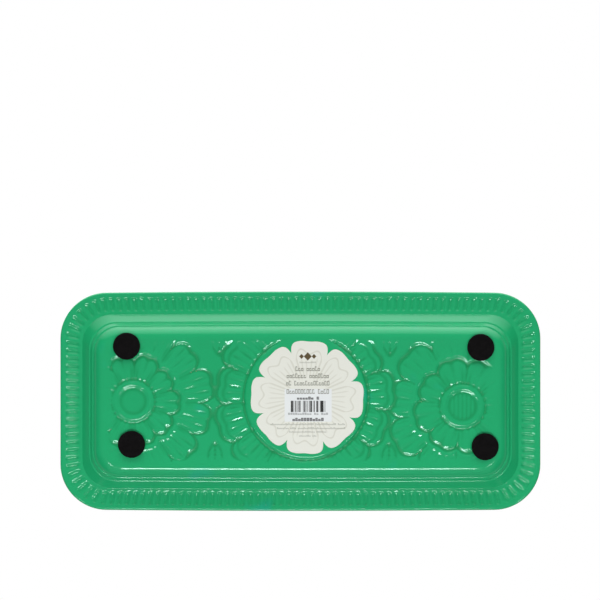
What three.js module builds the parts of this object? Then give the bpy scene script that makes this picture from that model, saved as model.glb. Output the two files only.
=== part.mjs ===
// A pressed tinplate serving tray: one lacquered sheet with a stepped wall, a fluted flange and a rolled edge,
// four stuck-on foam feet and a flower-shaped paper label under the floor.
// Millimetres, +Z up, feet on z = 0, origin under the middle of the tray, +X along its length.
import * as THREE from "three";

// Overall size and sheet.
const LENGTH = 350;
const WIDTH = 160;
const HEIGHT = 20;
const SHEET = 0.35;
// The long sides bow outwards: at the ends the tray is narrower than at the middle by this share.
const SIDE_BOW = 0.014;

// Feet: a foam disc on a disc of double-sided film.
const FOOT_RADIUS = 9.8;
const FOAM_THICKNESS = 1.8;
const FILM_THICKNESS = 0.2;
const FILM_RADIUS = 9.5;
const FOOT_SIDES = 40;
// The feet are placed by hand, so they are not symmetric about the middle.
const FOOT_CENTRES = {
  front_left: [-125.4, -40.5],
  front_right: [130.1, -39.6],
  rear_left: [-121.8, 30.3],
  rear_right: [133.2, 32.0],
};

// Label: eight petals with a shallow dip in each tip and a notch between neighbours.
const LABEL_PETALS = 8;
const LABEL_TIP_RADIUS = 41.0;
const LABEL_NOTCH_RADIUS = 34.5;
const LABEL_DIP = 0.8;
const LABEL_THICKNESS = 0.15;
const LABEL_CENTRE = [4.9, -3.5];
const LABEL_TURN = THREE.MathUtils.degToRad(2.7);
const LABEL_POINTS_PER_PETAL = 14;

// Heights of the floor's underside and of the middle of its sheet.
const FLOOR_UNDERSIDE = FOAM_THICKNESS + FILM_THICKNESS;
const FLOOR_MIDDLE = FLOOR_UNDERSIDE + SHEET / 2;

// Rolled edge: the rim turns up and back over the flange in a hollow roll.
const ROLL_RADIUS = 1.5;
const ROLL_TURN = THREE.MathUtils.degToRad(270);
const ROLL_STEPS = 7;

// Flange ribs, counted along each straight side and round each corner.
const RIBS_LONG = 50;
const RIBS_SHORT = 16;
const RIBS_CORNER = 7;
const RIB_HEIGHT = 0.7;
const RIB_ENDS = [3.6, 13.4];
const RIB_RUNOUT = 1.4;

// Corner radius of the outline at each inset from the outermost edge.
const CORNER_RADII = [
  [0, 33.5],
  [13, 22.5],
  [16, 21.5],
  [25, 19.5],
  [32, 16.5],
];

// The flange droops a little from the wall to the roll: [inset, height] at both of its edges.
const FLANGE_INNER = [16.3, 17.3];
const FLANGE_OUTER = [ROLL_RADIUS, HEIGHT - 2 * ROLL_RADIUS + SHEET / 2];

// The sheet's middle surface as [inset, height, fillet radius], from the floor out to the roll: the base
// radius, two narrow steps in the wall, the flange and the run-outs of its ribs.
const SECTION_CORNERS = [
  [34, FLOOR_MIDDLE, 0],
  [28.6, FLOOR_MIDDLE, 8.2],
  [25.2, 7.9, 0.4],
  [24.3, 8.0, 0.4],
  [22.6, 10.8, 0.4],
  [21.7, 10.9, 0.4],
  [...FLANGE_INNER, 0.9],
  onFlange(RIB_ENDS[1]),
  onFlange(RIB_ENDS[1] - RIB_RUNOUT),
  onFlange(RIB_ENDS[0] + RIB_RUNOUT),
  onFlange(RIB_ENDS[0]),
];
const FILLET_STEP = THREE.MathUtils.degToRad(30);

const COLOURS = {
  lacquer: { color: 0x27a869, roughness: 0.25, metalness: 0.0 },
  foam: { color: 0x141615, roughness: 0.95, metalness: 0.0 },
  film: { color: 0xe9e6da, roughness: 0.5, metalness: 0.0 },
  paper: { color: 0xe2e0d4, roughness: 0.8, metalness: 0.0 },
};

// The point of the flange's middle surface at an inset.
function onFlange(inset) {
  const [innerInset, innerHeight] = FLANGE_INNER;
  const [outerInset, outerHeight] = FLANGE_OUTER;
  const height = THREE.MathUtils.mapLinear(inset, innerInset, outerInset, innerHeight, outerHeight);
  return [inset, height, 0];
}

// ---- outline ----

function cornerRadius(inset) {
  for (let i = 1; i < CORNER_RADII.length; i++) {
    const [d0, r0] = CORNER_RADII[i - 1];
    const [d1, r1] = CORNER_RADII[i];
    if (inset <= d1) return THREE.MathUtils.mapLinear(inset, d0, d1, r0, r1);
  }
  return CORNER_RADII.at(-1)[1];
}

// The outline's eight stretches in order, anticlockwise from the right side, counted in ribs.
const STRETCHES = [
  { ribs: RIBS_SHORT, side: [1, 0] },
  { ribs: RIBS_CORNER, corner: [1, 1] },
  { ribs: RIBS_LONG, side: [0, 1] },
  { ribs: RIBS_CORNER, corner: [-1, 1] },
  { ribs: RIBS_SHORT, side: [-1, 0] },
  { ribs: RIBS_CORNER, corner: [-1, -1] },
  { ribs: RIBS_LONG, side: [0, -1] },
  { ribs: RIBS_CORNER, corner: [1, -1] },
];

const TOTAL_RIBS = STRETCHES.reduce((sum, { ribs }) => sum + ribs, 0);

// The point of the outline at an inset, at a share of the way along one stretch.
function outlinePoint(stretch, share, inset) {
  const radius = cornerRadius(inset);
  const straightX = LENGTH / 2 - inset - radius;
  const straightY = WIDTH / 2 - inset - radius;
  let x, y;
  if (stretch.side) {
    const [sx, sy] = stretch.side;
    const along = 2 * share - 1;
    x = sx ? sx * (straightX + radius) : -sy * along * straightX;
    y = sy ? sy * (straightY + radius) : sx * along * straightY;
  } else {
    const [sx, sy] = stretch.corner;
    const start = Math.atan2(sy, sx) - Math.PI / 4;
    const angle = start + (share * Math.PI) / 2;
    x = sx * straightX + radius * Math.cos(angle);
    y = sy * straightY + radius * Math.sin(angle);
  }
  return [x, y * (1 - SIDE_BOW * (x / (LENGTH / 2)) ** 2)];
}

// Stations round the outline, as {place, stretch, share}: place counts ribs from the start.
function stations(stepsOf) {
  const found = [];
  let before = 0;
  for (const stretch of STRETCHES) {
    const steps = stepsOf(stretch);
    for (let i = 0; i < steps; i++) {
      const share = i / steps;
      found.push({ place: before + share * stretch.ribs, stretch, share });
    }
    before += stretch.ribs;
  }
  return found;
}

const PLAIN_STATIONS = stations(({ side, ribs }) => {
  if (!side) return RIBS_CORNER;
  return ribs === RIBS_LONG ? 6 : 2;
});
const RIB_STATIONS = stations(({ ribs }) => 2 * ribs);

// ---- section ----

// The points of a path with its corners rounded by arcs.
function filletedPath(corners) {
  const points = [];
  corners.forEach(([x, y, radius], i) => {
    const here = new THREE.Vector2(x, y);
    if (!radius) {
      points.push(here);
      return;
    }
    const back = new THREE.Vector2(...corners[i - 1].slice(0, 2)).sub(here).normalize();
    const ahead = new THREE.Vector2(...corners[i + 1].slice(0, 2)).sub(here).normalize();
    const half = Math.acos(THREE.MathUtils.clamp(back.dot(ahead), -1, 1)) / 2;
    const reach = radius / Math.tan(half);
    const middle = back.clone().add(ahead).normalize().multiplyScalar(radius / Math.sin(half)).add(here);
    const from = back.clone().multiplyScalar(reach).add(here).sub(middle);
    const turn = Math.PI - 2 * half;
    const sense = Math.sign(back.cross(ahead)) * -1;
    const steps = Math.max(1, Math.ceil(turn / FILLET_STEP));
    for (let k = 0; k <= steps; k++) {
      const step = from.clone().rotateAround(new THREE.Vector2(), (sense * turn * k) / steps);
      points.push(step.add(middle));
    }
  });
  return points;
}

// The roll's middle surface, from the flange's edge outwards, up and back over the flange.
function rollPoints() {
  const radius = ROLL_RADIUS - SHEET / 2;
  const centre = new THREE.Vector2(ROLL_RADIUS, HEIGHT - ROLL_RADIUS);
  const points = [];
  for (let k = 0; k <= ROLL_STEPS; k++) {
    const angle = -Math.PI / 2 - (k / ROLL_STEPS) * ROLL_TURN;
    const offset = new THREE.Vector2(Math.cos(angle), Math.sin(angle)).multiplyScalar(radius);
    points.push(offset.add(centre));
  }
  return points;
}

// Both faces of the sheet as [inset, height] lists: the middle surface moved half a thickness each way.
function sheetFaces() {
  const middle = [...filletedPath(SECTION_CORNERS), ...rollPoints()];
  const faces = { under: [], upper: [] };
  middle.forEach((point, i) => {
    const before = middle[Math.max(i - 1, 0)];
    const after = middle[Math.min(i + 1, middle.length - 1)];
    const along = after.clone().sub(before).normalize();
    // Insets shrink outwards, so this normal points down from the floor and out of the roll.
    const normal = new THREE.Vector2(-along.y, along.x).multiplyScalar(SHEET / 2);
    faces.under.push(point.clone().add(normal));
    faces.upper.push(point.clone().sub(normal));
  });
  return faces;
}

// ---- tray pan ----

// Between the ends of the ribs' run-outs, where every second station stands proud.
function isRibbed(inset) {
  const [outer, inner] = RIB_ENDS;
  return inset > outer + RIB_RUNOUT / 2 && inset < inner - RIB_RUNOUT / 2;
}

class RingMesh {
  constructor() {
    this.positions = [];
    this.indices = [];
  }

  // Adds one ring of vertices at an inset and height, and returns it.
  ring(inset, height) {
    const ribbed = isRibbed(inset);
    const list = ribbed ? RIB_STATIONS : PLAIN_STATIONS;
    const first = this.positions.length / 3;
    list.forEach(({ stretch, share }, i) => {
      const lift = ribbed && i % 2 ? RIB_HEIGHT : 0;
      this.positions.push(...outlinePoint(stretch, share, inset), height + lift);
    });
    return { first, list };
  }

  // Joins two rings, whose stations may differ in number, with one band of triangles.
  join(a, b) {
    const placeOf = ({ list }, i) => (i < list.length ? list[i].place : TOTAL_RIBS);
    const vertex = ({ first, list }, i) => first + (i % list.length);
    let i = 0;
    let j = 0;
    while (i < a.list.length || j < b.list.length) {
      const aheadA = placeOf(a, i) + placeOf(a, i + 1);
      const aheadB = placeOf(b, j) + placeOf(b, j + 1);
      const stepA = j >= b.list.length || (i < a.list.length && aheadA <= aheadB);
      if (stepA) {
        this.indices.push(vertex(a, i), vertex(a, i + 1), vertex(b, j));
        i++;
      } else {
        this.indices.push(vertex(a, i), vertex(b, j + 1), vertex(b, j));
        j++;
      }
    }
  }

  // Closes a ring with a fan to a vertex at its middle.
  close({ first, list }, height, up) {
    const centre = this.positions.length / 3;
    this.positions.push(0, 0, height);
    for (let i = 0; i < list.length; i++) {
      const here = first + i;
      const next = first + ((i + 1) % list.length);
      this.indices.push(...(up ? [centre, here, next] : [centre, next, here]));
    }
  }

  geometry() {
    const made = new THREE.BufferGeometry();
    made.setAttribute("position", new THREE.Float32BufferAttribute(this.positions, 3));
    made.setIndex(this.indices);
    made.computeVertexNormals();
    return made;
  }
}

function trayPanGeometry() {
  const { under, upper } = sheetFaces();
  const mesh = new RingMesh();
  // Out along the underside, over the end of the roll, and back along the upper face.
  const path = [...under, ...upper.reverse()];
  const rings = path.map((point) => mesh.ring(point.x, point.y));
  for (let i = 1; i < rings.length; i++) mesh.join(rings[i - 1], rings[i]);
  mesh.close(rings[0], path[0].y, false);
  mesh.close(rings.at(-1), path.at(-1).y, true);
  return mesh.geometry();
}

// ---- feet and label ----

// A disc standing on its lower face at a height.
function discGeometry(radius, thickness, bottom) {
  const disc = new THREE.CylinderGeometry(radius, radius, thickness, FOOT_SIDES);
  return disc.rotateX(Math.PI / 2).translate(0, 0, bottom + thickness / 2);
}

// Distance of the label's edge from its centre, at an angle measured from the middle of a petal.
function labelRadius(angle) {
  const share = Math.abs(angle) / (Math.PI / LABEL_PETALS);
  const notch = (LABEL_TIP_RADIUS - LABEL_NOTCH_RADIUS) * share ** 9;
  const dip = LABEL_DIP * Math.exp(-((share / 0.28) ** 2));
  return LABEL_TIP_RADIUS - notch - dip;
}

function labelGeometry() {
  const shape = new THREE.Shape();
  const total = LABEL_PETALS * LABEL_POINTS_PER_PETAL;
  const petal = (2 * Math.PI) / LABEL_PETALS;
  for (let i = 0; i < total; i++) {
    const step = (i % LABEL_POINTS_PER_PETAL) / LABEL_POINTS_PER_PETAL - 0.5;
    // Points crowd towards the notches, where the edge turns fastest.
    const within = (Math.sin(step * Math.PI) / 2) * petal;
    const angle = Math.floor(i / LABEL_POINTS_PER_PETAL) * petal + within;
    const r = labelRadius(within);
    const point = [r * Math.cos(angle), r * Math.sin(angle)];
    if (i === 0) shape.moveTo(...point);
    else shape.lineTo(...point);
  }
  return new THREE.ExtrudeGeometry(shape, { depth: LABEL_THICKNESS, bevelEnabled: false });
}

// ---- assembly ----

function namedMesh(name, geometry, finish) {
  const mesh = new THREE.Mesh(geometry, new THREE.MeshStandardMaterial(COLOURS[finish]));
  mesh.name = name;
  return mesh;
}

function foot(corner, [x, y]) {
  const group = new THREE.Group();
  const foam = discGeometry(FOOT_RADIUS, FOAM_THICKNESS, 0);
  const film = discGeometry(FILM_RADIUS, FILM_THICKNESS, FOAM_THICKNESS);
  group.add(namedMesh(`foot_pad_${corner}`, foam, "foam"));
  group.add(namedMesh(`foot_adhesive_${corner}`, film, "film"));
  group.position.set(x, y, 0);
  return group;
}

function label() {
  const mesh = namedMesh("base_label", labelGeometry(), "paper");
  mesh.position.set(...LABEL_CENTRE, FLOOR_UNDERSIDE - LABEL_THICKNESS);
  mesh.rotation.z = LABEL_TURN;
  return mesh;
}

const tray = new THREE.Group();
tray.add(namedMesh("tray_pan", trayPanGeometry(), "lacquer"));
for (const [corner, centre] of Object.entries(FOOT_CENTRES)) tray.add(foot(corner, centre));
tray.add(label());

export default tray;
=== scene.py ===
"""A pressed tinplate serving tray seen from below: green lacquer, embossed flowers, foam feet, paper label.

Lengths in this script are millimetres in the frame's axes; meshes are written out in metres.
"""
import math

import bpy
import numpy as np
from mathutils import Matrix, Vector

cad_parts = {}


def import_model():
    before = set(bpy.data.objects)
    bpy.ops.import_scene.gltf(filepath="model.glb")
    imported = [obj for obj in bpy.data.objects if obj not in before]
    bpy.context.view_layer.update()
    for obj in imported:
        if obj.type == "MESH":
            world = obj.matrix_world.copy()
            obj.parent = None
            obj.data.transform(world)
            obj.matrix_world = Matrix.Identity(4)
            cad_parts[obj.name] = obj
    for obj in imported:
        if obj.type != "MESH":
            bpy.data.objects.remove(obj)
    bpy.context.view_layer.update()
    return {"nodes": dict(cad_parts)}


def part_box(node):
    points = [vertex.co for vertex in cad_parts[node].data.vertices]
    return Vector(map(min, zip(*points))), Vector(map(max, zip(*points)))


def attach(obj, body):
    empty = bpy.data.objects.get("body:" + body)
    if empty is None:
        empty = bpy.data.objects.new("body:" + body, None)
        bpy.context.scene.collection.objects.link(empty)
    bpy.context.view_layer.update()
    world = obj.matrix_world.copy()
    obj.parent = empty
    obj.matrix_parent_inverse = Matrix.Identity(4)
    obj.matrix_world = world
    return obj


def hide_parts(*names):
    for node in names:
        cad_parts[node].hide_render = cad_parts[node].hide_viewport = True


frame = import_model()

MM = 0.001
TAU = 2 * math.pi


def box_mm(node):
    low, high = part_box(node)
    return np.array(low) / MM, np.array(high) / MM


# ---- driving dimensions ----

PAN_LOW, PAN_HIGH = box_mm("tray_pan")
LENGTH, WIDTH = (PAN_HIGH - PAN_LOW)[:2]
FLOOR_UNDERSIDE = PAN_LOW[2]
RIM_TOP = PAN_HIGH[2]
SHEET = 0.35
FLOOR_MIDDLE = FLOOR_UNDERSIDE + SHEET / 2
# The long sides bow outwards: at the ends the tray is narrower than at the middle by this share.
SIDE_BOW = 0.014

# Corner radius of the outline at each inset from the outermost edge.
CORNER_INSETS = [0, 13, 16, 25, 32]
CORNER_RADII = [33.5, 22.5, 21.5, 19.5, 16.5]

# The rolled edge: the rim turns up and back over the flange in a hollow roll.
ROLL_RADIUS = 1.5
ROLL_TURN = math.radians(270)
ROLL_STEPS = 14

# Flutes of the flange, counted along each straight side and round each corner.
FLUTES_LONG = 50
FLUTES_SHORT = 16
FLUTES_CORNER = 7
FLUTE_HEIGHT = 1.15
FLUTE_ENDS = (3.7, 14.2)
FLUTE_RUNOUT = 1.5
FLUTE_SHARPNESS = 1.3
STEPS_PER_FLUTE = 6
# How much of the flutes' lift counts as recess, for the lacquer's deeper green (pooling and painted shade)
# and dullness.
FLUTE_SHADE = 0.75

# The flange droops a little from the wall to the roll: (inset, height) at both of its edges.
FLANGE_INNER = (16.3, 17.3)
FLANGE_OUTER = (ROLL_RADIUS, RIM_TOP - 2 * ROLL_RADIUS + SHEET / 2)

# The sheet's middle surface outside the floor, as (inset, height, fillet radius): the base radius, two
# narrow steps in the wall, and the flange's inner edge.
FLOOR_INSET = 34.0
SECTION = [
    (FLOOR_INSET, FLOOR_MIDDLE, 0),
    (28.6, FLOOR_MIDDLE, 8.2),
    (25.2, 7.9, 0.75),
    (24.3, 8.0, 0.75),
    (22.6, 10.8, 0.75),
    (21.7, 10.9, 0.75),
    (*FLANGE_INNER, 0.9),
]
FILLET_STEP = math.radians(13)
FLANGE_RINGS = 9

# Both faces have the same grid, so that they stay a sheet's thickness apart in the relief.
CELL = 0.92


# ---- outline ----

SIDE, CORNER = "side", "corner"
# The outline's stretches in order, anticlockwise from the right side: kind, flutes, outward direction.
STRETCHES = [
    (SIDE, FLUTES_SHORT, (1, 0)),
    (CORNER, FLUTES_CORNER, (1, 1)),
    (SIDE, FLUTES_LONG, (0, 1)),
    (CORNER, FLUTES_CORNER, (-1, 1)),
    (SIDE, FLUTES_SHORT, (-1, 0)),
    (CORNER, FLUTES_CORNER, (-1, -1)),
    (SIDE, FLUTES_LONG, (0, -1)),
    (CORNER, FLUTES_CORNER, (1, -1)),
]
FLUTES_ROUND = sum(flutes for _, flutes, _ in STRETCHES)


def corner_radius(inset):
    return float(np.interp(inset, CORNER_INSETS, CORNER_RADII))


def bow(x, y):
    return y * (1 - SIDE_BOW * (x / (LENGTH / 2)) ** 2)


def stretch_points(index, share, inset):
    """Points of the outline at an inset, at shares of the way along one stretch."""
    kind, _, (sx, sy) = STRETCHES[index]
    radius = corner_radius(inset)
    straight_x = LENGTH / 2 - inset - radius
    straight_y = WIDTH / 2 - inset - radius
    if kind == SIDE:
        along = 2 * share - 1
        x = sx * (straight_x + radius) if sx else -sy * along * straight_x
        y = sy * (straight_y + radius) if sy else sx * along * straight_y
    else:
        angle = math.atan2(sy, sx) - math.pi / 4 + share * math.pi / 2
        x = sx * straight_x + radius * np.cos(angle)
        y = sy * straight_y + radius * np.sin(angle)
    x, y = np.broadcast_arrays(np.asarray(x, float), np.asarray(y, float))
    return np.stack([x, bow(x, y)], 1)


def stations(steps_of):
    """Shares along each stretch, and each station's place in flutes round the whole outline."""
    shares, places, start = [], [], 0
    for kind, flutes, _ in STRETCHES:
        steps = steps_of(kind, flutes)
        share = np.arange(steps) / steps
        shares.append(share)
        places.append(start + share * flutes)
        start += flutes
    return shares, np.concatenate(places)


def coarse_steps(kind, flutes):
    if kind == CORNER:
        return 18
    return 30 if flutes == FLUTES_LONG else 12


def fluted_steps(kind, flutes):
    return flutes * STEPS_PER_FLUTE


COARSE = stations(coarse_steps)
FLUTED = stations(fluted_steps)


# ---- section ----

def roll_path():
    """The roll's middle surface: from the flange's edge outwards, up and back over the flange."""
    radius = ROLL_RADIUS - SHEET / 2
    angle = -math.pi / 2 - np.linspace(0, 1, ROLL_STEPS + 1) * ROLL_TURN
    inset = ROLL_RADIUS + radius * np.cos(angle)
    height = RIM_TOP - ROLL_RADIUS + radius * np.sin(angle)
    return np.stack([inset, height], 1)


def on_flange(inset):
    """The point of the flange's middle surface at an inset."""
    (inner, inner_height), (outer, outer_height) = FLANGE_INNER, FLANGE_OUTER
    share = (inner - inset) / (inner - outer)
    return np.array([inset, inner_height + share * (outer_height - inner_height)])


def flange_path():
    """Rings across the flange, closer together where the flutes run out."""
    shares = 0.5 - 0.5 * np.cos(np.linspace(0, 1, FLANGE_RINGS) * math.pi)
    outer, inner = FLUTE_ENDS
    return [on_flange(inset) for inset in inner + (outer - inner) * shares]


def section_path():
    """The whole middle surface from the floor's edge to the end of the roll, its corners rounded by arcs."""
    flange = flange_path()
    corners = [np.array(corner[:2], float) for corner in SECTION] + [flange[0]]
    points = [corners[0]]
    for i in range(1, len(SECTION)):
        here, radius = corners[i], SECTION[i][2]
        back = corners[i - 1] - here
        ahead = corners[i + 1] - here
        back /= np.linalg.norm(back)
        ahead /= np.linalg.norm(ahead)
        half = math.acos(np.clip(back @ ahead, -1, 1)) / 2
        bisector = (back + ahead) / np.linalg.norm(back + ahead)
        middle = here + bisector * radius / math.sin(half)
        turn = math.pi - 2 * half
        sense = -np.sign(back[0] * ahead[1] - back[1] * ahead[0])
        start = here + back * radius / math.tan(half) - middle
        steps = max(3, math.ceil(turn / FILLET_STEP))
        for k in range(steps + 1):
            angle = sense * turn * k / steps
            c, s = math.cos(angle), math.sin(angle)
            points.append(middle + (c * start[0] - s * start[1], s * start[0] + c * start[1]))
    return np.array(points + flange + list(roll_path()))


def smoothstep(low, high, value):
    t = np.clip((value - low) / (high - low), 0, 1)
    return t * t * (3 - 2 * t)


def flute_lift(inset, places):
    """How far the flutes lift the sheet: rounded ridges with rounded ends."""
    outer, inner = FLUTE_ENDS
    ends = smoothstep(outer, outer + FLUTE_RUNOUT, inset) * smoothstep(inner, inner - FLUTE_RUNOUT, inset)
    ridge = 0.5 - 0.5 * np.cos(places * TAU)
    return FLUTE_HEIGHT * ends * ridge ** FLUTE_SHARPNESS


# ---- embossed relief of the floor ----
# Heights are the recess of the floor's underside: 0 is the plane that the feet and the label are stuck to.

GROUND = 0.62
GROUND_RUNOUT = 8.0
DETAIL_RUNOUT = 3.5
PLATE = 0.45
OUTLINE_DEPTH = 0.75
OUTLINE_WIDTH = 1.8
# The bead outside the outline, and the second groove's depth as a share of the outline's.
RIDGE_WIDTH = 1.1
RIDGE_OFFSET = 1.0
BORDER_SHARE = 0.7
# Over these distances inside its edge a petal covers what lies under it.
PETAL_EDGE = (-1.3, 1.1)
PETAL_UNEVENNESS = 0.03
TIP_DIP = 0.02
TIP_DIP_WIDTH = 0.25
# The crease between neighbouring petals, which runs out along these shares of the radius inside their edge.
SIDE_DEPTH = 0.55
SIDE_WIDTH = 1.2
SIDE_RUNOUT = (0.6, 0.25)
# The veins' spacing, and where they start past the root and end short of the tip.
VEIN_WIDTH = 5.2
VEIN_UNEVENNESS = 0.22
VEIN_SHARPNESS = 1.2
VEIN_ROOT = (-1.0, 2.0)
VEIN_TIP = (1.5, 5.0)
VEIN_SIDE = (1.02, 0.75)
# Round a flower's middle, as (distance inside its edge, width, depth): the groove round the label's disc, and
# the step, the bead and the outer groove of a sunk disc.
DISC_GROOVE = (-1.6, 1.1, 0.90)
CORE_STEP = (4.4, 1.4, 0.25)
CORE_BEAD = (0.9, 1.6, -0.70)
CORE_GROOVE = (-2.2, 1.4, 0.50)
CORE_EDGE = (-1.4, 0.4)
CORE_DEPTH = 0.75
HATCH_PITCH = 3.0
HATCH_EDGE = (4.5, 6.0)
# A leaf's middle rib and slanting hatch, and the outline's depth round it as a share of a petal's.
LEAF_EDGE = (-0.6, 0.6)
LEAF_RIB = 0.5
LEAF_RIB_WIDTH = 0.9
LEAF_HATCH = 0.25
LEAF_HATCH_PITCH = 3.2
LEAF_OUTLINE_SHARE = 0.6
LEAF_OUTLINE_WIDTH = 0.8
# Large shallow waves of the pressed sheet.
WAVE_HEIGHT = 0.05
DEPTH_NAMES = ("outer", "inner", "core", "leaf")
# The value of a depth far outside its shape.
OUTSIDE = -9.0


def groove(distance, width):
    """1 on a line and 0 away from it, with a rounded section."""
    return np.exp(-((distance / width) ** 2))


def ring(inside, place, width, depth):
    """A groove, or with a negative depth a bead, along a line inside a shape's edge."""
    return depth * groove(inside - place, width)


class Layer:
    """One whorl of petals: count, turn of the first, tip radius, and the depths of what is pressed into them.

    notch is the share of the radius lost between petals, line the inset of the outline's groove, ridge the
    height of the bead outside it, and border the inset of a second groove.
    """

    def __init__(self, centre, petals, turn, radius, notch=0.15, line=1.0, ridge=0.0, border=0.0, vein=0.42):
        self.centre, self.petals, self.turn = centre, petals, math.radians(turn)
        self.radius, self.notch, self.line, self.ridge = radius, notch, line, ridge
        self.border, self.vein = border, vein

    def fields(self, x, y):
        """Depth inside the petals' edge, distance to a petal's side, radius and phase across the petal."""
        dx, dy = x - self.centre[0], y - self.centre[1]
        r = np.hypot(dx, dy)
        turns = (np.arctan2(dy, dx) - self.turn) / TAU * self.petals
        index = np.round(turns)
        s = 2 * (turns - index)
        reach = self.radius * (1 + PETAL_UNEVENNESS * np.sin(2.4 * index + 1))
        inside = reach * (1 - self.notch * np.abs(s) ** 4 - TIP_DIP * groove(s, TIP_DIP_WIDTH)) - r
        side = (1 - np.abs(s)) * math.pi / self.petals * r
        return inside, side, r, s

    def veins(self, inside, r, s, root):
        """Radial ribs across the petals, from their root to short of their tips, a vein's width apart."""
        across = math.pi * (root + self.radius) / self.petals / VEIN_WIDTH
        count = 2 * round((across - 1) / 2) + 1
        phase = (s + 1) / 2 * count
        uneven = np.sin(2.9 * np.floor(phase) + 0.35 * (r - root)) - 1
        ribs = (0.5 - 0.5 * np.cos(phase * TAU)) ** VEIN_SHARPNESS * (1 + VEIN_UNEVENNESS * uneven)
        length = smoothstep(*VEIN_ROOT, r - root) * smoothstep(*VEIN_TIP, inside - self.border)
        return ribs, length * smoothstep(*VEIN_SIDE, np.abs(s))

    def plate(self, inside, side, r, s, root):
        """Recess over the petals, without their outline."""
        ribs, length = self.veins(inside, r, s, root)
        crease = SIDE_DEPTH * groove(side, SIDE_WIDTH) * smoothstep(*SIDE_RUNOUT, inside / self.radius)
        plate = PLATE + self.vein * ribs * length + crease
        if self.border:
            inset = self.border + self.line
            plate = plate + BORDER_SHARE * OUTLINE_DEPTH * groove(inside - inset, OUTLINE_WIDTH)
        return plate


class Flower:
    """A disc or ring in the middle and whorls of petals, the outermost first.

    core is the middle's radius, flat_core tells a flat disc from a sunk one, and hatch is the depth of the
    lines across a sunk one.
    """

    def __init__(self, centre, core, flat_core, layers, hatch=0.0):
        self.centre, self.core, self.flat_core, self.layers = centre, core, flat_core, layers
        self.hatch = hatch


LEFT = (-120.8, -0.6)
RIGHT = (117.0, 3.1)
MIDDLE = (4.0, -3.1)
FLOWERS = [
    Flower(LEFT, 13.4, False, [
        Layer(LEFT, 13, -12.5, 58.5, vein=0.45),
        Layer(LEFT, 10, 2, 35.6, line=2.6, ridge=0.35),
    ]),
    Flower(RIGHT, 14.2, False, [
        Layer(RIGHT, 10, -137, 55.0, vein=0.42),
        Layer(RIGHT, 8, 30, 36.5, line=2.2, ridge=0.35),
    ], hatch=0.16),
    Flower(MIDDLE, 43.4, True, [
        Layer((2.2, -3.1), 13, -5, 65.8, notch=0.09, border=5.0, vein=0.55),
    ]),
]
# Leaves that fill the gaps between the flowers: centre, half length, half width.
LEAVES = [((64.7, -44.5), 11, 5), ((64.0, 41.0), 11, 5), ((-58.8, -45.0), 11, 5), ((-61.6, 40.5), 11, 5)]


def emboss(x, y):
    """Recess of the floor's underside, with the fields that the upper face's painting follows."""
    recess = np.full_like(x, GROUND)
    fields = {name: np.full_like(x, OUTSIDE) for name in DEPTH_NAMES}
    fields["vein"] = np.zeros_like(x)
    # The painting tells the flowers apart by this: 0 the left one, 0.5 the right one, 1 the middle one.
    fields["flower"] = np.zeros_like(x)
    for leaf in LEAVES:
        recess = emboss_leaf(recess, fields, leaf, x, y)
    for number, flower in enumerate(FLOWERS):
        roots = [layer.radius for layer in flower.layers[1:]] + [flower.core + 1]
        for layer, root in zip(flower.layers, roots):
            inside, side, r, s = layer.fields(x, y)
            covered = smoothstep(*PETAL_EDGE, inside)
            recess = recess * (1 - covered) + layer.plate(inside, side, r, s, root) * covered
            recess += OUTLINE_DEPTH * groove(inside - layer.line, OUTLINE_WIDTH)
            recess -= layer.ridge * groove(inside + RIDGE_OFFSET, RIDGE_WIDTH)
            name = "outer" if layer is flower.layers[0] else "inner"
            cover_fields(fields, name, inside)
            fields["vein"] = np.where(inside > 0, layer.veins(inside, r, s, root)[0], fields["vein"])
            fields["flower"] = np.where(inside > -1, number / 2, fields["flower"])
        recess = emboss_core(recess, fields, flower, x, y)
    wave = np.sin(x * 0.11 + 1.3 * np.sin(y * 0.07)) * np.sin(y * 0.13 + 0.8)
    return np.maximum(recess + WAVE_HEIGHT * wave, 0), fields


def cover_fields(fields, name, inside):
    """Records that a shape lies over the ones before it."""
    for other in DEPTH_NAMES:
        if other != name:
            fields[other] = np.where(inside > 0, np.minimum(fields[other], -inside), fields[other])
    fields[name] = np.maximum(fields[name], inside)


def emboss_leaf(recess, fields, leaf, x, y):
    """A pointed leaf that stands along the tray's width, hatched away from its middle rib."""
    (cx, cy), half_length, half_width = leaf
    u, v = (y - cy) / half_length, (x - cx) / half_width
    inside = (1 - u ** 2 - np.abs(v) ** 1.5) * half_width / 2
    rib = groove(v * half_width, LEAF_RIB_WIDTH) * (inside > 0)
    hatch = 0.5 + 0.5 * np.cos((np.abs(x - cx) + (y - cy) * np.sign(-cy)) * TAU / LEAF_HATCH_PITCH)
    covered = smoothstep(*LEAF_EDGE, inside)
    recess = recess * (1 - covered) + (PLATE + LEAF_RIB * rib + LEAF_HATCH * hatch) * covered
    recess += OUTLINE_DEPTH * LEAF_OUTLINE_SHARE * groove(inside, LEAF_OUTLINE_WIDTH)
    fields["leaf"] = np.maximum(fields["leaf"], inside)
    return recess


def emboss_core(recess, fields, flower, x, y):
    """The middle of a flower: a flat disc for the label, or a sunk disc inside a raised ring."""
    dx = x - flower.centre[0]
    inside = flower.core - np.hypot(dx, y - flower.centre[1])
    covered = smoothstep(*CORE_EDGE, inside)
    if flower.flat_core:
        recess = recess * (1 - covered) + ring(inside, *DISC_GROOVE)
    else:
        hatch = flower.hatch * np.cos(dx * TAU / HATCH_PITCH) * smoothstep(*HATCH_EDGE, inside)
        sunk = CORE_DEPTH + hatch + ring(inside, *CORE_STEP)
        recess = recess * (1 - covered) + sunk * covered
        recess = recess + ring(inside, *CORE_BEAD) + ring(inside, *CORE_GROOVE)
    cover_fields(fields, "core", inside)
    return recess


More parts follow.
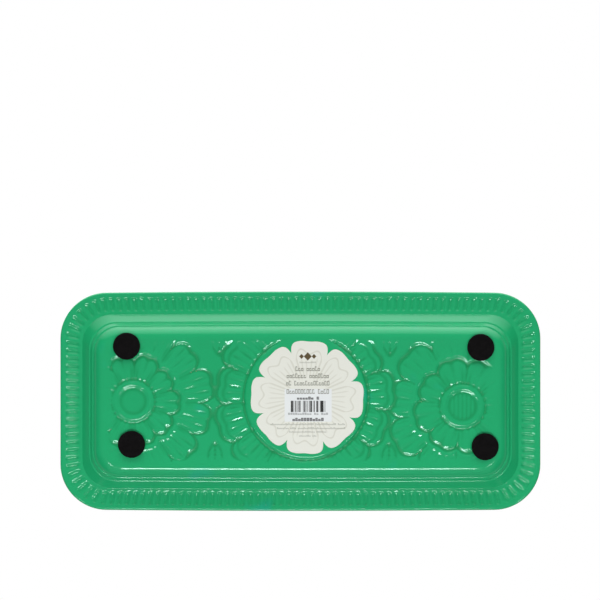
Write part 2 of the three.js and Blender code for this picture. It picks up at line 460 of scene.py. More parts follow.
def floor_depth(x, y):
    """Distance inside the floor's edge."""
    radius = corner_radius(FLOOR_INSET)
    half_x = LENGTH / 2 - FLOOR_INSET - radius
    half_y = WIDTH / 2 - FLOOR_INSET - radius
    y = y / (1 - SIDE_BOW * (x / (LENGTH / 2)) ** 2)
    beyond_x = np.abs(x) - half_x
    beyond_y = np.abs(y) - half_y
    outside = np.hypot(np.maximum(beyond_x, 0), np.maximum(beyond_y, 0))
    return radius - outside - np.minimum(np.maximum(beyond_x, beyond_y), 0)


def floor_recess(x, y):
    """The relief, let down to the feet's plane at the floor's edge: details at once, the ground slowly."""
    recess, fields = emboss(x, y)
    depth = floor_depth(x, y)
    ground = np.minimum(recess, GROUND) * smoothstep(0, GROUND_RUNOUT, depth)
    detail = np.maximum(recess - GROUND, 0) * smoothstep(0, DETAIL_RUNOUT, depth)
    return ground + detail, fields


# ---- meshes ----

class Sheet:
    """Collects a piece's vertices and faces, with the fields that its materials read on each vertex."""

    def __init__(self, names=()):
        self.points, self.faces, self.slots, self.count = [], [], [], 0
        self.fields = {name: [] for name in names}

    def add(self, points, **fields):
        first = self.count
        self.points.append(points)
        self.count += len(points)
        for name in self.fields:
            default = OUTSIDE if name in DEPTH_NAMES else 0.0
            self.fields[name].append(np.broadcast_to(fields.get(name, default), (len(points),)))
        return np.arange(first, self.count)

    def put(self, faces, flip, slot):
        """Adds faces with that material slot, turned over if flip."""
        self.faces += (faces[:, ::-1] if flip else faces).tolist()
        self.slots += [slot] * len(faces)

    def quads(self, a, b, c, d, flip, slot):
        self.put(np.stack([a, b, c, d], 1), flip, slot)

    def close(self, rows, low, high):
        """Joins a stack of rings and closes it with a fan round a point at either end."""
        for a, b in zip(rows, rows[1:]):
            self.quads(a, np.roll(a, -1), np.roll(b, -1), b, False, 0)
        for row, point, flip in ((rows[0], low, False), (rows[-1], high, True)):
            middle = self.add(np.array([point]))
            self.put(np.stack([np.full(len(row), middle[0]), np.roll(row, -1), row], 1), flip, 0)

    def stitch(self, a, places_a, b, places_b, flip, slot):
        """Joins two closed rings by the stations' places round the outline."""
        if len(a) == len(b):
            self.quads(a, np.roll(a, -1), np.roll(b, -1), b, flip, slot)
            return
        pa, pb = np.append(places_a, FLUTES_ROUND), np.append(places_b, FLUTES_ROUND)
        i = j = 0
        made = []
        while i < len(a) or j < len(b):
            ahead_a = pa[i] + pa[i + 1] if i < len(a) else np.inf
            ahead_b = pb[j] + pb[j + 1] if j < len(b) else np.inf
            if ahead_a <= ahead_b:
                made.append((a[i % len(a)], a[(i + 1) % len(a)], b[j % len(b)]))
                i += 1
            else:
                made.append((a[i % len(a)], b[(j + 1) % len(b)], b[j % len(b)]))
                j += 1
        self.put(np.array(made), flip, slot)


def axis_cells(straight, radius):
    """Grid lines along one axis as (centre of the corner arc or None, offset): corner, straight, corner."""
    corner = round(radius / CELL)
    middle = round(2 * straight / CELL)
    u = np.arange(corner + 1) / corner
    lines = [(-straight, -v) for v in u[:0:-1]]
    lines += [(x, 0.0) for x in np.linspace(-straight, straight, middle + 1)]
    lines += [(straight, v) for v in u[1:]]
    return np.array(lines), corner, middle


def floor_patch():
    """A grid over the rounded floor: points, and the boundary's indices and places."""
    radius = corner_radius(FLOOR_INSET)
    half_x = LENGTH / 2 - FLOOR_INSET - radius
    half_y = WIDTH / 2 - FLOOR_INSET - radius
    lines_x, corner_x, middle_x = axis_cells(half_x, radius)
    lines_y, corner_y, middle_y = axis_cells(half_y, radius)
    base_x, u = (lines_x[:, k][:, None] for k in (0, 1))
    base_y, v = (lines_y[:, k][None, :] for k in (0, 1))
    # A square maps onto each corner's quarter disc, and straight strips onto themselves.
    x = base_x + radius * u * np.sqrt(1 - v ** 2 / 2)
    y = base_y + radius * v * np.sqrt(1 - u ** 2 / 2)
    y = bow(x, y)
    index = np.arange(x.size).reshape(x.shape)
    last_x, last_y = x.shape[0] - 1, x.shape[1] - 1
    loop = np.concatenate([
        index[last_x, corner_y:last_y],
        index[last_x:0:-1, last_y],
        index[0, last_y:0:-1],
        index[0:last_x, 0],
        index[last_x, 0:corner_y],
    ])
    arc = np.arcsin(np.arange(corner_x) / corner_x / math.sqrt(2)) / (math.pi / 2)
    corner_shares = np.concatenate([arc, 1 - np.append(arc, 0.5)[:0:-1]])
    places, start = [], 0
    for kind, flutes, (sx, _) in STRETCHES:
        count = middle_y if sx else middle_x
        share = np.arange(count) / count if kind == SIDE else corner_shares
        places.append(start + share * flutes)
        start += flutes
    return x, y, index, loop, np.concatenate(places)


def add_floor(sheet, thickness, flip, slot):
    x, y, index, loop, places = floor_patch()
    recess, fields = floor_recess(x.ravel(), y.ravel())
    points = np.stack([x.ravel(), y.ravel(), FLOOR_UNDERSIDE + thickness + recess], 1)
    ids = sheet.add(points, recess=recess, **fields)
    index = ids[index]
    a, b, c, d = index[:-1, :-1], index[1:, :-1], index[1:, 1:], index[:-1, 1:]
    sheet.quads(*(q.ravel() for q in (a, b, c, d)), flip, slot)
    return ids[loop], places


def is_fluted(inset, height):
    """Whether a ring lies on the flange between the ends of its flutes."""
    outer, inner = FLUTE_ENDS
    return outer - 0.3 < inset < inner + 0.3 and abs(height - on_flange(inset)[1]) < SHEET


def add_ring(sheet, inset, height):
    fluted = is_fluted(inset, height)
    shares, places = FLUTED if fluted else COARSE
    xy = np.concatenate([stretch_points(i, share, inset) for i, share in enumerate(shares)])
    lift = flute_lift(inset, places) if fluted else np.zeros(len(xy))
    return sheet.add(np.column_stack([xy, height + lift]), recess=FLUTE_SHADE * lift), places


def build_pan():
    path = section_path()
    tangent = np.gradient(path, axis=0)
    tangent /= np.linalg.norm(tangent, axis=1)[:, None]
    normal = np.stack([-tangent[:, 1], tangent[:, 0]], 1) * SHEET / 2
    sheet = Sheet((*DEPTH_NAMES, "vein", "flower", "recess"))
    ends = []
    for sign, slot in ((1, 0), (-1, 1)):
        flip = sign > 0
        thickness = 0.0 if sign > 0 else SHEET
        ring, places = add_floor(sheet, thickness, flip, slot)
        # The floor ends where the path starts.
        for inset, height in (path + sign * normal)[1:]:
            following, next_places = add_ring(sheet, inset, height)
            sheet.stitch(ring, places, following, next_places, not flip, slot)
            ring, places = following, next_places
        ends.append((ring, places))
    (under, places), (upper, _) = ends
    sheet.stitch(under, places, upper, places, False, 0)
    return mesh_object("tray_pan_pressed", sheet)


def mesh_object(name, sheet):
    mesh = bpy.data.meshes.new(name)
    mesh.from_pydata((np.concatenate(sheet.points) * MM).tolist(), [], sheet.faces)
    mesh.polygons.foreach_set("material_index", sheet.slots)
    mesh.polygons.foreach_set("use_smooth", [True] * len(mesh.polygons))
    for field, values in sheet.fields.items():
        attribute = mesh.attributes.new(field, "FLOAT", "POINT")
        attribute.data.foreach_set("value", np.concatenate(values).astype(np.float32))
    mesh.validate()
    mesh.update()
    piece = bpy.data.objects.new(name, mesh)
    bpy.context.scene.collection.objects.link(piece)
    return piece


# ---- node helpers ----

class Field:
    """A socket that arithmetic can be written with; each operation adds one Math node."""

    def __init__(self, tree, value):
        self.tree, self.value = tree, value

    def math(self, operation, *others):
        node = self.tree.nodes.new("ShaderNodeMath")
        node.operation = operation
        for socket, item in zip(node.inputs, (self, *others)):
            item = item.value if isinstance(item, Field) else item
            if isinstance(item, (int, float)):
                socket.default_value = item
            else:
                self.tree.links.new(item, socket)
        return Field(self.tree, node.outputs[0])

    def __add__(self, other):
        return self.math("ADD", other)

    def __sub__(self, other):
        return self.math("SUBTRACT", other)

    def __mul__(self, other):
        return self.math("MULTIPLY", other)

    def __truediv__(self, other):
        return self.math("DIVIDE", other)

    def __pow__(self, other):
        return self.math("POWER", other)

    def abs(self):
        return self.math("ABSOLUTE")

    def cos(self):
        return self.math("COSINE")

    def sin(self):
        return self.math("SINE")

    def sqrt(self):
        return self.math("SQRT")

    def floor(self):
        return self.math("FLOOR")

    def fract(self):
        return self.math("FRACT")

    def min(self, other):
        return self.math("MINIMUM", other)

    def max(self, other):
        return self.math("MAXIMUM", other)

    def atan2(self, other):
        return self.math("ARCTAN2", other)

    def __neg__(self):
        return self * -1.0

    def __rsub__(self, other):
        return self * -1.0 + other

    def step(self, low, high):
        """0 below low and 1 above high, smooth between."""
        node = self.tree.nodes.new("ShaderNodeMapRange")
        node.interpolation_type = "SMOOTHSTEP"
        self.tree.links.new(self.value, node.inputs["Value"])
        node.inputs["From Min"].default_value = low
        node.inputs["From Max"].default_value = high
        return Field(self.tree, node.outputs["Result"])


def new_material(name, **principled):
    material = bpy.data.materials.new(name)
    material.use_nodes = True
    tree = material.node_tree
    shader = tree.nodes["Principled BSDF"]
    for key, value in principled.items():
        shader.inputs[key.replace("_", " ")].default_value = value
    return material, tree, shader


def attribute(tree, name):
    node = tree.nodes.new("ShaderNodeAttribute")
    node.attribute_name = name
    return Field(tree, node.outputs["Fac"])


def position_mm(tree):
    coordinate = tree.nodes.new("ShaderNodeTexCoord")
    parts = tree.nodes.new("ShaderNodeSeparateXYZ")
    tree.links.new(coordinate.outputs["Object"], parts.inputs[0])
    return [Field(tree, parts.outputs[k]) * (1 / MM) for k in range(3)], coordinate.outputs["Object"]


def noise(tree, vector, size_mm, detail=2.0, roughness=0.5):
    """Noise with features of about that size, from 0 to 1."""
    node = tree.nodes.new("ShaderNodeTexNoise")
    tree.links.new(vector, node.inputs["Vector"])
    node.inputs["Scale"].default_value = 1 / (size_mm * MM)
    node.inputs["Detail"].default_value = detail
    node.inputs["Roughness"].default_value = roughness
    return Field(tree, node.outputs["Fac"])


def mix(tree, factor, a, b):
    """Colour a where factor is 0 and b where it is 1; a and b are colours or sockets."""
    node = tree.nodes.new("ShaderNodeMix")
    node.data_type = "RGBA"
    tree.links.new(factor.value, node.inputs["Factor"])
    for name, item in (("A", a), ("B", b)):
        socket = next(found for found in node.inputs if found.name == name and found.type == "RGBA")
        if isinstance(item, tuple):
            socket.default_value = (*item, 1)
        else:
            tree.links.new(item, socket)
    return node.outputs[2]


def bump(tree, shader, height, distance_mm):
    node = tree.nodes.new("ShaderNodeBump")
    node.inputs["Strength"].default_value = 1.0
    node.inputs["Distance"].default_value = distance_mm * MM
    tree.links.new(height.value, node.inputs["Height"])
    tree.links.new(node.outputs["Normal"], shader.inputs["Normal"])


# ---- materials ----

GREEN = (0.0120, 0.385, 0.142)
# Darker green in the grooves: partly lacquer pooling, partly painted shade.
SHADED_POOL_GREEN = (0.003, 0.255, 0.075)
GREEN_LIGHT = (0.015, 0.408, 0.162)
# Bluer green for patches of painted reflection of bluish light.
REFLECTION_BLUE_GREEN = (0.010, 0.378, 0.230)
LACQUER_SHEEN = (0.78, 1.0, 0.98, 1)
# The recess in mm over which the green grows deeper (lacquer pooling and painted shade), and over which the
# grooves turn dull.
POOL_SHADE_RANGE = (0.62, 1.2)
DULL = (0.85, 1.25)


def lacquer_colour(tree, vector):
    """Green that varies a little in depth over the sheet, with a few bluer patches of painted reflection."""
    cloudy = noise(tree, vector, 45, 3).step(0.35, 0.7)
    colour = mix(tree, cloudy * 0.4, GREEN, GREEN_LIGHT)
    return mix(tree, noise(tree, vector, 30, 1).step(0.66, 0.80) * 0.7, colour, REFLECTION_BLUE_GREEN)


def lacquer_under():
    gloss = {"Specular_IOR_Level": 0.40, "Specular_Tint": LACQUER_SHEEN}
    material, tree, shader = new_material("green_lacquer", **gloss)
    _, vector = position_mm(tree)
    recess = attribute(tree, "recess")
    # The deeper grooves are painted darker: partly lacquer pooling, partly painted shade.
    pool_and_shade = recess.step(*POOL_SHADE_RANGE) * 0.8
    colour = mix(tree, pool_and_shade, lacquer_colour(tree, vector), SHADED_POOL_GREEN)
    tree.links.new(colour, shader.inputs["Base Color"])
    rough = noise(tree, vector, 12, 3) * 0.08 + recess.step(*DULL) * 0.22 + 0.08
    tree.links.new(rough.value, shader.inputs["Roughness"])
    peel = noise(tree, vector, 1.6, 2) * 0.5 + noise(tree, vector, 9, 2)
    bump(tree, shader, peel, 0.02)
    return material


CREAM = (0.83, 0.78, 0.62)
CORAL = (0.72, 0.10, 0.06)
PINK = (0.80, 0.33, 0.33)
YELLOW = (0.85, 0.52, 0.06)
LEAF = (0.012, 0.13, 0.06)
INK = (0.03, 0.02, 0.015)

# The middle flower's painted disc: radii and half sizes of its strokes, spots and eye.
MEDALLION_PETALS = 12
STROKE_RADIUS = 24.0
STROKE_HALF_LENGTH = 10.5
STROKE_HALF_WIDTH = 5.4
STROKE_TAPER = 0.45
SPOT_RING = 38.5
SPOT_RADIUS = 1.8
EYE_RADIUS = 11.4
EYE_LINE = 0.6
EYE_HEART = (7.2, 5.5)


def medallion(tree, px, py):
    """The middle flower's disc: a yellow ground, a whorl of pale strokes, a ring of spots and a red heart."""
    x, y = px - MIDDLE[0], py - MIDDLE[1]
    r = (x * x + y * y).sqrt()
    turns = y.atan2(x) / TAU * MEDALLION_PETALS
    across = (turns - (turns + 0.5).floor()).abs() * r * (TAU / MEDALLION_PETALS)
    edge = 0.2
    colour = mix(tree, r.step(44, 20), YELLOW, CORAL)
    along = (r - STROKE_RADIUS).abs()
    stroke = (STROKE_HALF_WIDTH - along * STROKE_TAPER - across).step(-edge, edge)
    stroke = stroke * along.step(STROKE_HALF_LENGTH + 0.5, STROKE_HALF_LENGTH - 0.5)
    colour = mix(tree, stroke, colour, CREAM)
    colour = mix(tree, stroke * across.step(1.6, 0.2) * r.step(32, 16), colour, PINK)
    off_ring = r - SPOT_RING
    spot = (off_ring * off_ring + across * across).sqrt().step(SPOT_RADIUS + edge, SPOT_RADIUS - edge)
    colour = mix(tree, spot, colour, CREAM)
    colour = mix(tree, r.step(EYE_RADIUS + edge, EYE_RADIUS - edge), colour, INK)
    inner = EYE_RADIUS - EYE_LINE
    colour = mix(tree, r.step(inner + edge, inner - edge), colour, YELLOW)
    return mix(tree, r.step(*EYE_HEART), colour, CORAL)


def painted_upper():
    varnish = {"Roughness": 0.28, "Coat_Weight": 0.4, "Coat_Roughness": 0.08}
    material, tree, shader = new_material("painted_upper_face", **varnish)
    (px, py, _), vector = position_mm(tree)
    colour = lacquer_colour(tree, vector)
    flower = attribute(tree, "flower")
    pale = (flower - 0.5).abs().step(0.3, 0.2)
    middle = flower.step(0.7, 0.8)
    vein = attribute(tree, "vein")
    stroke = noise(tree, vector, 1.2, 3)

    def region(name, fill, colour):
        """Paints one kind of shape over the colour, inside a line of ink with a brushed edge."""
        depth = attribute(tree, name) + (stroke - 0.5) * 0.5
        colour = mix(tree, depth.step(-0.1, 0.1), colour, INK)
        return mix(tree, depth.step(0.5, 0.7), colour, fill)

    colour = region("leaf", LEAF, colour)
    outer = mix(tree, pale, CORAL, CREAM)
    outer_tip = mix(tree, pale, PINK, CREAM)
    depth_outer = attribute(tree, "outer")
    outer = mix(tree, depth_outer.step(9, 1), outer, outer_tip)
    outer = mix(tree, vein.step(0.5, 0.95) * depth_outer.step(2.5, 8) * 0.75, outer, YELLOW)
    colour = region("outer", outer, colour)
    depth_inner = attribute(tree, "inner")
    inner = mix(tree, depth_inner.step(9, 1), YELLOW, CREAM)
    inner = mix(tree, vein.step(0.5, 0.95) * depth_inner.step(2.5, 8) * 0.7, inner, CORAL)
    colour = region("inner", inner, colour)
    depth_core = attribute(tree, "core")
    core = mix(tree, depth_core.step(4, 2), YELLOW, CORAL)
    core = mix(tree, middle, core, medallion(tree, px, py))
    colour = region("core", core, colour)
    tree.links.new(colour, shader.inputs["Base Color"])
    bump(tree, shader, noise(tree, vector, 1.6, 2) + stroke * 0.5, 0.02)
    return material


FOAM_DARK = (0.0015, 0.0013, 0.0014)
FOAM_PALE = (0.008, 0.0068, 0.0072)


def foam():
    material, tree, shader = new_material("black_foam", Roughness=0.95, Specular_IOR_Level=0.1)
    _, vector = position_mm(tree)
    fine = noise(tree, vector, 0.35, 3, 0.7)
    broad = noise(tree, vector, 4, 2)
    shade = fine.step(0.3, 0.75) * 0.7 + broad.step(0.3, 0.7) * 0.3
    tree.links.new(mix(tree, shade, FOAM_DARK, FOAM_PALE), shader.inputs["Base Color"])
    bump(tree, shader, fine, 0.25)
    return material


FILM_DARK = (0.72, 0.70, 0.62)
FILM_PALE = (0.82, 0.80, 0.74)


def film():
    material, tree, shader = new_material("adhesive_film", Roughness=0.5)
    _, vector = position_mm(tree)
    shade = noise(tree, vector, 2, 2)
    tree.links.new(mix(tree, shade, FILM_DARK, FILM_PALE), shader.inputs["Base Color"])
    bump(tree, shader, noise(tree, vector, 0.6, 2), 0.02)
    return material


# ---- label ----

LABEL_LOW, LABEL_HIGH = box_mm("base_label")
LABEL_CENTRE = (LABEL_LOW + LABEL_HIGH)[:2] / 2
LABEL_PETALS = 8
LABEL_TIP = (LABEL_HIGH - LABEL_LOW)[0] / 2 + 0.5
LABEL_NOTCH = 33.6
LABEL_CORNER = 8
LABEL_DIP = 0.8
LABEL_DIP_WIDTH = 0.28
LABEL_TURN = math.radians(2.7)
# The print sits a little left of the die-cut outline's middle.
PRINT_SHIFT = 0.6
PAPER = (0.775, 0.78, 0.705)
PRINT_LINE = (0.57, 0.56, 0.47)
PRINT_GREY = (0.20, 0.205, 0.16)
PRINT_BROWN = (0.085, 0.055, 0.012)
PRINT_BLACK = (0.010, 0.010, 0.010)
CODE_WHITE = (0.775, 0.80, 0.80)


def label_radius(s):
    """Distance of the label's edge from its centre, with s from -1 to 1 across a petal."""
    corner = (LABEL_TIP - LABEL_NOTCH) * np.abs(s) ** LABEL_CORNER
    return LABEL_TIP - corner - LABEL_DIP * groove(s, LABEL_DIP_WIDTH)


def build_label():
    steps, rings = 48, 10
    s = np.sin((np.arange(steps) / steps - 0.5) * math.pi)
    petal = TAU / LABEL_PETALS
    angle = np.concatenate([k * petal + s * petal / 2 for k in range(LABEL_PETALS)]) + LABEL_TURN
    edge = np.tile(label_radius(s), LABEL_PETALS)
    thickness = LABEL_HIGH[2] - LABEL_LOW[2]
    profile = [(share, LABEL_LOW[2]) for share in np.linspace(0.1, 0.985, rings)]
    profile += [(0.998, LABEL_LOW[2] + 0.02), (1.0, LABEL_LOW[2] + 0.06), (1.0, LABEL_HIGH[2])]
    profile += [(share, LABEL_HIGH[2]) for share in (0.9, 0.4)]
    sheet = Sheet()
    rows = []
    for share, z in profile:
        r = edge * share
        x = LABEL_CENTRE[0] + r * np.cos(angle)
        y = LABEL_CENTRE[1] + r * np.sin(angle)
        rows.append(sheet.add(np.stack([x, y, np.full_like(x, z)], 1)))
    sheet.close(rows, (*LABEL_CENTRE, LABEL_LOW[2]), (*LABEL_CENTRE, LABEL_HIGH[2]))
    return mesh_object("base_label_printed", sheet)


def paper():
    material, tree, shader = new_material("label_paper", Roughness=0.6)
    (px, py, _), vector = position_mm(tree)
    # Right of the label's middle as it is read, and up the page.
    x, y = px - float(LABEL_CENTRE[0] - PRINT_SHIFT), -(py - float(LABEL_CENTRE[1]))
    grain = noise(tree, vector, 0.9, 4, 0.65)
    colour = mix(tree, grain.step(0.3, 0.7) * 0.35, PAPER, tuple(c * 0.93 for c in PAPER))
    colour = mix(tree, petal_lines(tree, x - PRINT_SHIFT, y) * 0.55, colour, PRINT_LINE)
    panel = box_mask(x, y, 1.3, -5.7, 17.0, 11.8, soft=1.0)
    colour = mix(tree, panel, colour, CODE_WHITE)
    colour = mix(tree, sprig(x, y, *SPRIG), colour, PRINT_BROWN)
    for centre_x, centre_y, width, height, letters, ink, strength in PRINTED_ROWS:
        mask = greeked_row(tree, x, y, centre_x, centre_y, width, height, letters)
        colour = mix(tree, mask * strength, colour, ink)
    colour = mix(tree, bar_pattern(tree, x, y), colour, PRINT_BLACK)
    tree.links.new(colour, shader.inputs["Base Color"])
    bump(tree, shader, grain, 0.03)
    return material


# A small ornament over the print: centre and half width of a row of three lozenges.
SPRIG = (1.0, 29.6, 6.2)
# Rows of greeked print: centre x and y, width, height, letters, ink and its strength.
PRINTED_ROWS = [
    (1.0, 25.3, 12.0, 1.1, 12, PRINT_GREY, 0.5),
    (1.0, 20.7, 18.0, 3.3, 9, PRINT_GREY, 1.0),
    (1.0, 15.6, 30.7, 3.3, 15, PRINT_GREY, 1.0),
    (1.0, 10.3, 31.6, 3.3, 16, PRINT_GREY, 1.0),
    (1.0, 4.3, 30.9, 3.3, 15, PRINT_GREY, 1.0),
    (1.2, -0.5, 16.2, 2.1, 8, PRINT_BLACK, 1.0),
    (1.2, -11.8, 29.0, 1.5, 17, PRINT_BLACK, 0.6),
    (1.2, -15.9, 22.8, 2.3, 11, PRINT_BLACK, 1.0),
    (1.0, -19.3, 54.0, 1.3, 50, PRINT_GREY, 0.55),
    (2.3, -22.2, 51.6, 1.3, 48, PRINT_GREY, 0.55),
    (1.0, -24.8, 27.0, 1.2, 26, PRINT_GREY, 0.5),
    (1.0, -27.7, 12.8, 1.2, 12, PRINT_GREY, 0.5),
]
# Rows lower than this are printed heavily, with little light inside their letters.
SMALL_PRINT = 2.5


def sprig(x, y, cx, cy, half_width):
    """Three lozenges in a row, the middle one larger."""
    size = half_width / 2
    across = (x - cx).abs()
    middle = across / (size * 0.95) + (y - cy).abs() / size
    beside = (across - size * 1.45).abs() / (size * 0.55) + (y - cy).abs() / (size * 0.6)
    return middle.min(beside).step(1.05, 0.9)


def box_mask(x, y, cx, cy, half_x, half_y, soft=0.1):
    across = (x - cx).abs().step(half_x + soft / 2, half_x - soft / 2)
    return across * (y - cy).abs().step(half_y + soft / 2, half_y - soft / 2)


def white(tree, value, seed):
    node = tree.nodes.new("ShaderNodeTexWhiteNoise")
    node.noise_dimensions = "2D"
    joined = tree.nodes.new("ShaderNodeCombineXYZ")
    tree.links.new(value.value, joined.inputs[0])
    joined.inputs[1].default_value = seed
    tree.links.new(joined.outputs[0], node.inputs["Vector"])
    return Field(tree, node.outputs["Value"])


def greeked_row(tree, x, y, cx, cy, width, height, letters):
    """Letter-like strokes that spell nothing: open blocks of uneven height, with gaps between words."""
    pitch = width / letters
    across = (x - cx) / pitch + letters / 2
    cell, within = across.floor(), across.fract() - 0.5
    seed = 7.0 + cy
    rise = (y - cy) / (height / 2)
    top = white(tree, cell, seed).step(0.55, 0.6) * 0.7 + 0.3
    block = within.abs().step(0.46, 0.38) * (rise - top).step(0.1, -0.1) * rise.step(-1.1, -0.9)
    opening = within.abs().step(0.28, 0.2) * rise.step(-0.8, -0.6) * (rise - top + 0.35).step(0.1, -0.1)
    cut = within.step(0.1, 0.2) * rise.step(-0.6, -0.4) * white(tree, cell, seed + 57).step(0.5, 0.55)
    word_gap = white(tree, cell, seed + 31).step(0.05, 0.07)
    inside_row = (x - cx).abs().step(width / 2 + 0.1, width / 2 - 0.1)
    hollow = 0.85 if height > SMALL_PRINT else 0.3
    return block * (opening.max(cut) * -hollow + 1.0) * word_gap * inside_row


# The bars: centre, half width and half height; the width of a module, and how likely it is to be pale.
BARS = (1.2, -6.5, 12.4, 4.1)
BAR_MODULE = 0.40
BAR_PALE = (0.44, 0.50)


def bar_pattern(tree, x, y):
    """Upright bars of random width, which encode nothing."""
    cx, cy, half_width, half_height = BARS
    bars = white(tree, ((x - cx) / BAR_MODULE).floor(), 3.0).step(*BAR_PALE)
    return bars * box_mask(x, y, cx, cy, half_width, half_height)


# The drawing in each petal: a heart-shaped outline and veins, in radius and share of the petal's half angle.
HEART_RADIUS = 33.0
HEART_LOBES = 1.7
HEART_SIDE = 0.82
HEART_ROOT = 14.0
HEART_VEINS = (-0.55, -0.2, 0.17, 0.5)
HEART_SKEW = 0.5
HEART_CORNER = 9.0


def petal_lines(tree, x, y):
    """Pale line drawing in each petal: a heart-shaped inner outline and a few veins."""
    half_angle = math.pi / LABEL_PETALS
    r = (x * x + y * y).sqrt()
    turns = (y.atan2(x) + TAU + LABEL_TURN) / (2 * half_angle) + 0.5
    s = (turns.fract() - 0.5) * 2.0
    lobes = (s * 6.6).cos() * HEART_LOBES - (s * 3.1).sin() * HEART_SKEW
    reach = HEART_RADIUS - lobes - s.abs() ** 6.0 * HEART_CORNER
    side = (s.abs() * -1.0 + HEART_SIDE) * (r * half_angle)
    depth = (reach - r).min(side)
    lines = depth.abs().step(0.85, 0.35) * r.step(HEART_ROOT - 1, HEART_ROOT + 1)
    for place in HEART_VEINS:
        off = (s - place).abs() * (r * half_angle)
        length = r.step(HEART_ROOT, HEART_ROOT + 3) * (r - reach).step(-3.5, -7.0)
        lines = lines.max(off.step(0.7, 0.2) * length * 0.8)
    return lines


# ---- feet ----

def build_pad(corner):
    """A die-cut foam disc: a lathed profile with rounded edges and a slightly pulled-in waist."""
    low, high = box_mm(f"foot_pad_{corner}")
    centre = (low + high)[:2] / 2
    radius = (high - low)[0] / 2
    thickness = high[2]
    profile = [(radius * share, 0.0) for share in (0.25, 0.5, 0.75, 0.9)]
    profile += [(radius - 0.35, 0.02), (radius - 0.12, 0.14), (radius - 0.03, 0.38), (radius - 0.1, 0.9)]
    profile += [(radius - 0.06, thickness - 0.3), (radius - 0.15, thickness - 0.05)]
    profile += [(radius - 0.4, thickness), (radius * 0.5, thickness)]
    sides = 72
    angle = np.arange(sides) / sides * TAU
    sheet = Sheet()
    rows = []
    for row, (r, z) in enumerate(profile):
        wobble = 1 + 0.002 * np.sin(angle * 9 + row) + 0.0015 * np.sin(angle * 23 + 2 * row)
        x = centre[0] + r * wobble * np.cos(angle)
        y = centre[1] + r * wobble * np.sin(angle)
        rows.append(sheet.add(np.stack([x, y, np.full_like(x, z)], 1)))
    sheet.close(rows, (*centre, 0.0), (*centre, thickness))
    return mesh_object(f"foot_pad_{corner}_foam", sheet)


# ---- assembly ----

def place(piece, node, slot, *materials):
    for material in materials:
        piece.data.materials.append(material)
    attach(piece, "root")
    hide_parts(node)


place(build_pan(), "tray_pan", "lacquer", lacquer_under(), painted_upper())
place(build_label(), "base_label", "paper", paper())
FOAM, FILM = foam(), film()
for corner in ("front_left", "front_right", "rear_left", "rear_right"):
    pad = build_pad(corner)
    place(pad, f"foot_pad_{corner}", "foam", FOAM)
    slots = frame["nodes"][f"foot_adhesive_{corner}"].data.materials
    slots.clear()
    slots.append(FILM)


# ---- stage, light and camera ----

def stage_floor():
    """A pale floor on z = 0 that only shows from above, so the tray can be seen through it from below."""
    mesh = bpy.data.meshes.new("floor")
    half = 2.0
    corners = [(-half, -half, 0), (half, -half, 0), (half, half, 0), (-half, half, 0)]
    mesh.from_pydata(corners, [], [(0, 1, 2, 3)])
    floor = bpy.data.objects.new("floor", mesh)
    bpy.context.scene.collection.objects.link(floor)
    material, tree, shader = new_material("pale_floor", Roughness=0.9)
    shader.inputs["Base Color"].default_value = (0.80, 0.80, 0.80, 1)
    geometry = tree.nodes.new("ShaderNodeNewGeometry")
    clear = tree.nodes.new("ShaderNodeBsdfTransparent")
    either = tree.nodes.new("ShaderNodeMixShader")
    tree.links.new(geometry.outputs["Backfacing"], either.inputs[0])
    tree.links.new(shader.outputs[0], either.inputs[1])
    tree.links.new(clear.outputs[0], either.inputs[2])
    tree.links.new(either.outputs[0], tree.nodes["Material Output"].inputs["Surface"])
    mesh.materials.append(material)
    floor.visible_shadow = False
    floor.visible_diffuse = False
    floor.visible_glossy = False
    floor.visible_transmission = False


def area_light(name, at, aim, size, power, spread=180):
    """A rectangular light in metres and watts; a spread under 180 degrees dims it towards the sides."""
    data = bpy.data.lights.new(name, "AREA")
    data.shape = "RECTANGLE"
    data.size, data.size_y = size
    data.energy = power
    data.spread = math.radians(spread)
    lamp = bpy.data.objects.new(name, data)
    lamp.location = at
    lamp.rotation_euler = (Vector(aim) - Vector(at)).to_track_quat("-Z", "Y").to_euler()
    bpy.context.scene.collection.objects.link(lamp)


# The world's light: its strength below, above and at the horizon, and the heights on the unit sphere over
# which it changes.
SOFT_BELOW = 0.30
SOFT_ABOVE = 0.95
SOFT_LEVEL = 0.06
BELOW_RANGE = (-0.35, -0.9)
ABOVE_RANGE = (0.0, 0.6)


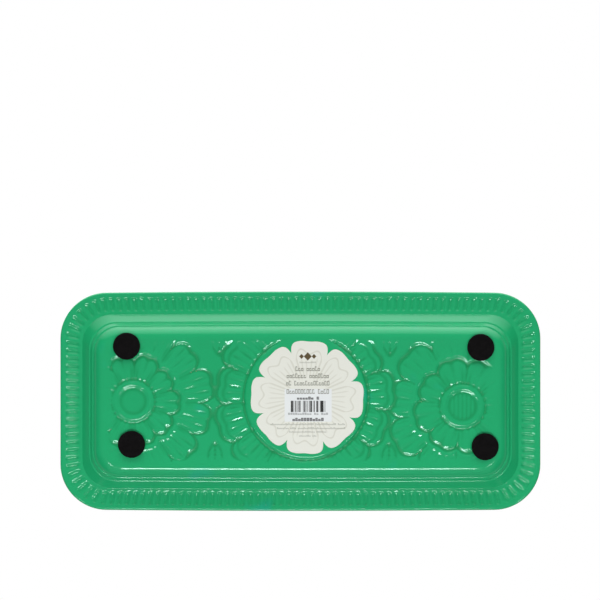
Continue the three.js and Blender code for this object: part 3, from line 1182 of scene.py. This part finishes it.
def world():
    """White where the camera looks past the tray; for light, soft from straight above and straight below."""
    made = bpy.data.worlds.new("studio")
    made.use_nodes = True
    tree = made.node_tree
    soft = tree.nodes["Background"]
    soft.inputs["Color"].default_value = (0.93, 0.97, 1.0, 1)
    coordinate = tree.nodes.new("ShaderNodeTexCoord")
    parts = tree.nodes.new("ShaderNodeSeparateXYZ")
    tree.links.new(coordinate.outputs["Generated"], parts.inputs[0])
    height = Field(tree, parts.outputs[2])
    strength = height.step(*BELOW_RANGE) * SOFT_BELOW + height.step(*ABOVE_RANGE) * SOFT_ABOVE + SOFT_LEVEL
    tree.links.new(strength.value, soft.inputs["Strength"])
    plain = tree.nodes.new("ShaderNodeBackground")
    plain.inputs["Color"].default_value = (1, 1, 1, 1)
    path = tree.nodes.new("ShaderNodeLightPath")
    either = tree.nodes.new("ShaderNodeMixShader")
    tree.links.new(path.outputs["Is Camera Ray"], either.inputs[0])
    tree.links.new(soft.outputs[0], either.inputs[1])
    tree.links.new(plain.outputs[0], either.inputs[2])
    tree.links.new(either.outputs[0], tree.nodes["World Output"].inputs["Surface"])
    bpy.context.scene.world = made


LENS = 135.0
SENSOR = 36.0
# The width of the view at the rim's height, and the camera's x and y.
FRAME_SPAN = 437.4
CAMERA_OFFSET = (-0.3, -73.8)


def camera():
    """Straight below the tray, looking up, with the tray low in the frame."""
    data = bpy.data.cameras.new("camera")
    data.lens = LENS
    data.sensor_width = SENSOR
    data.clip_end = 50
    distance = FRAME_SPAN * LENS / SENSOR
    shot = bpy.data.objects.new("camera", data)
    rim_middle = RIM_TOP - ROLL_RADIUS
    shot.location = Vector((*CAMERA_OFFSET, rim_middle - distance)) * MM
    shot.rotation_euler = (math.pi, 0, 0)
    bpy.context.scene.collection.objects.link(shot)
    bpy.context.scene.camera = shot


stage_floor()
world()
TRAY = (0, 0, 0)
# The large one makes the bright band on the wall at the top of the picture, the small ones the glints.
area_light("key_below", at=(0, -1.35, -0.35), aim=(0, 0, -0.35), size=(4.6, 2.7), power=49, spread=115)
area_light("fill_below", at=(0, 1.35, -0.75), aim=TRAY, size=(2.4, 1.6), power=5)
area_light("strip_below", at=(-0.03, 0.68, -1.25), aim=TRAY, size=(0.55, 0.13), power=9)
for side in (-1, 1):
    area_light("corner_below", at=(side * 0.60, 0.60, -1.25), aim=TRAY, size=(0.10, 0.10), power=1.2)
area_light("key_above", at=(-0.7, -0.8, 1.5), aim=TRAY, size=(1.2, 0.8), power=8)
area_light("fill_above", at=(1.0, 0.9, 1.2), aim=TRAY, size=(1.0, 1.0), power=3)
camera()

bpy.context.scene.view_settings.view_transform = "Standard"
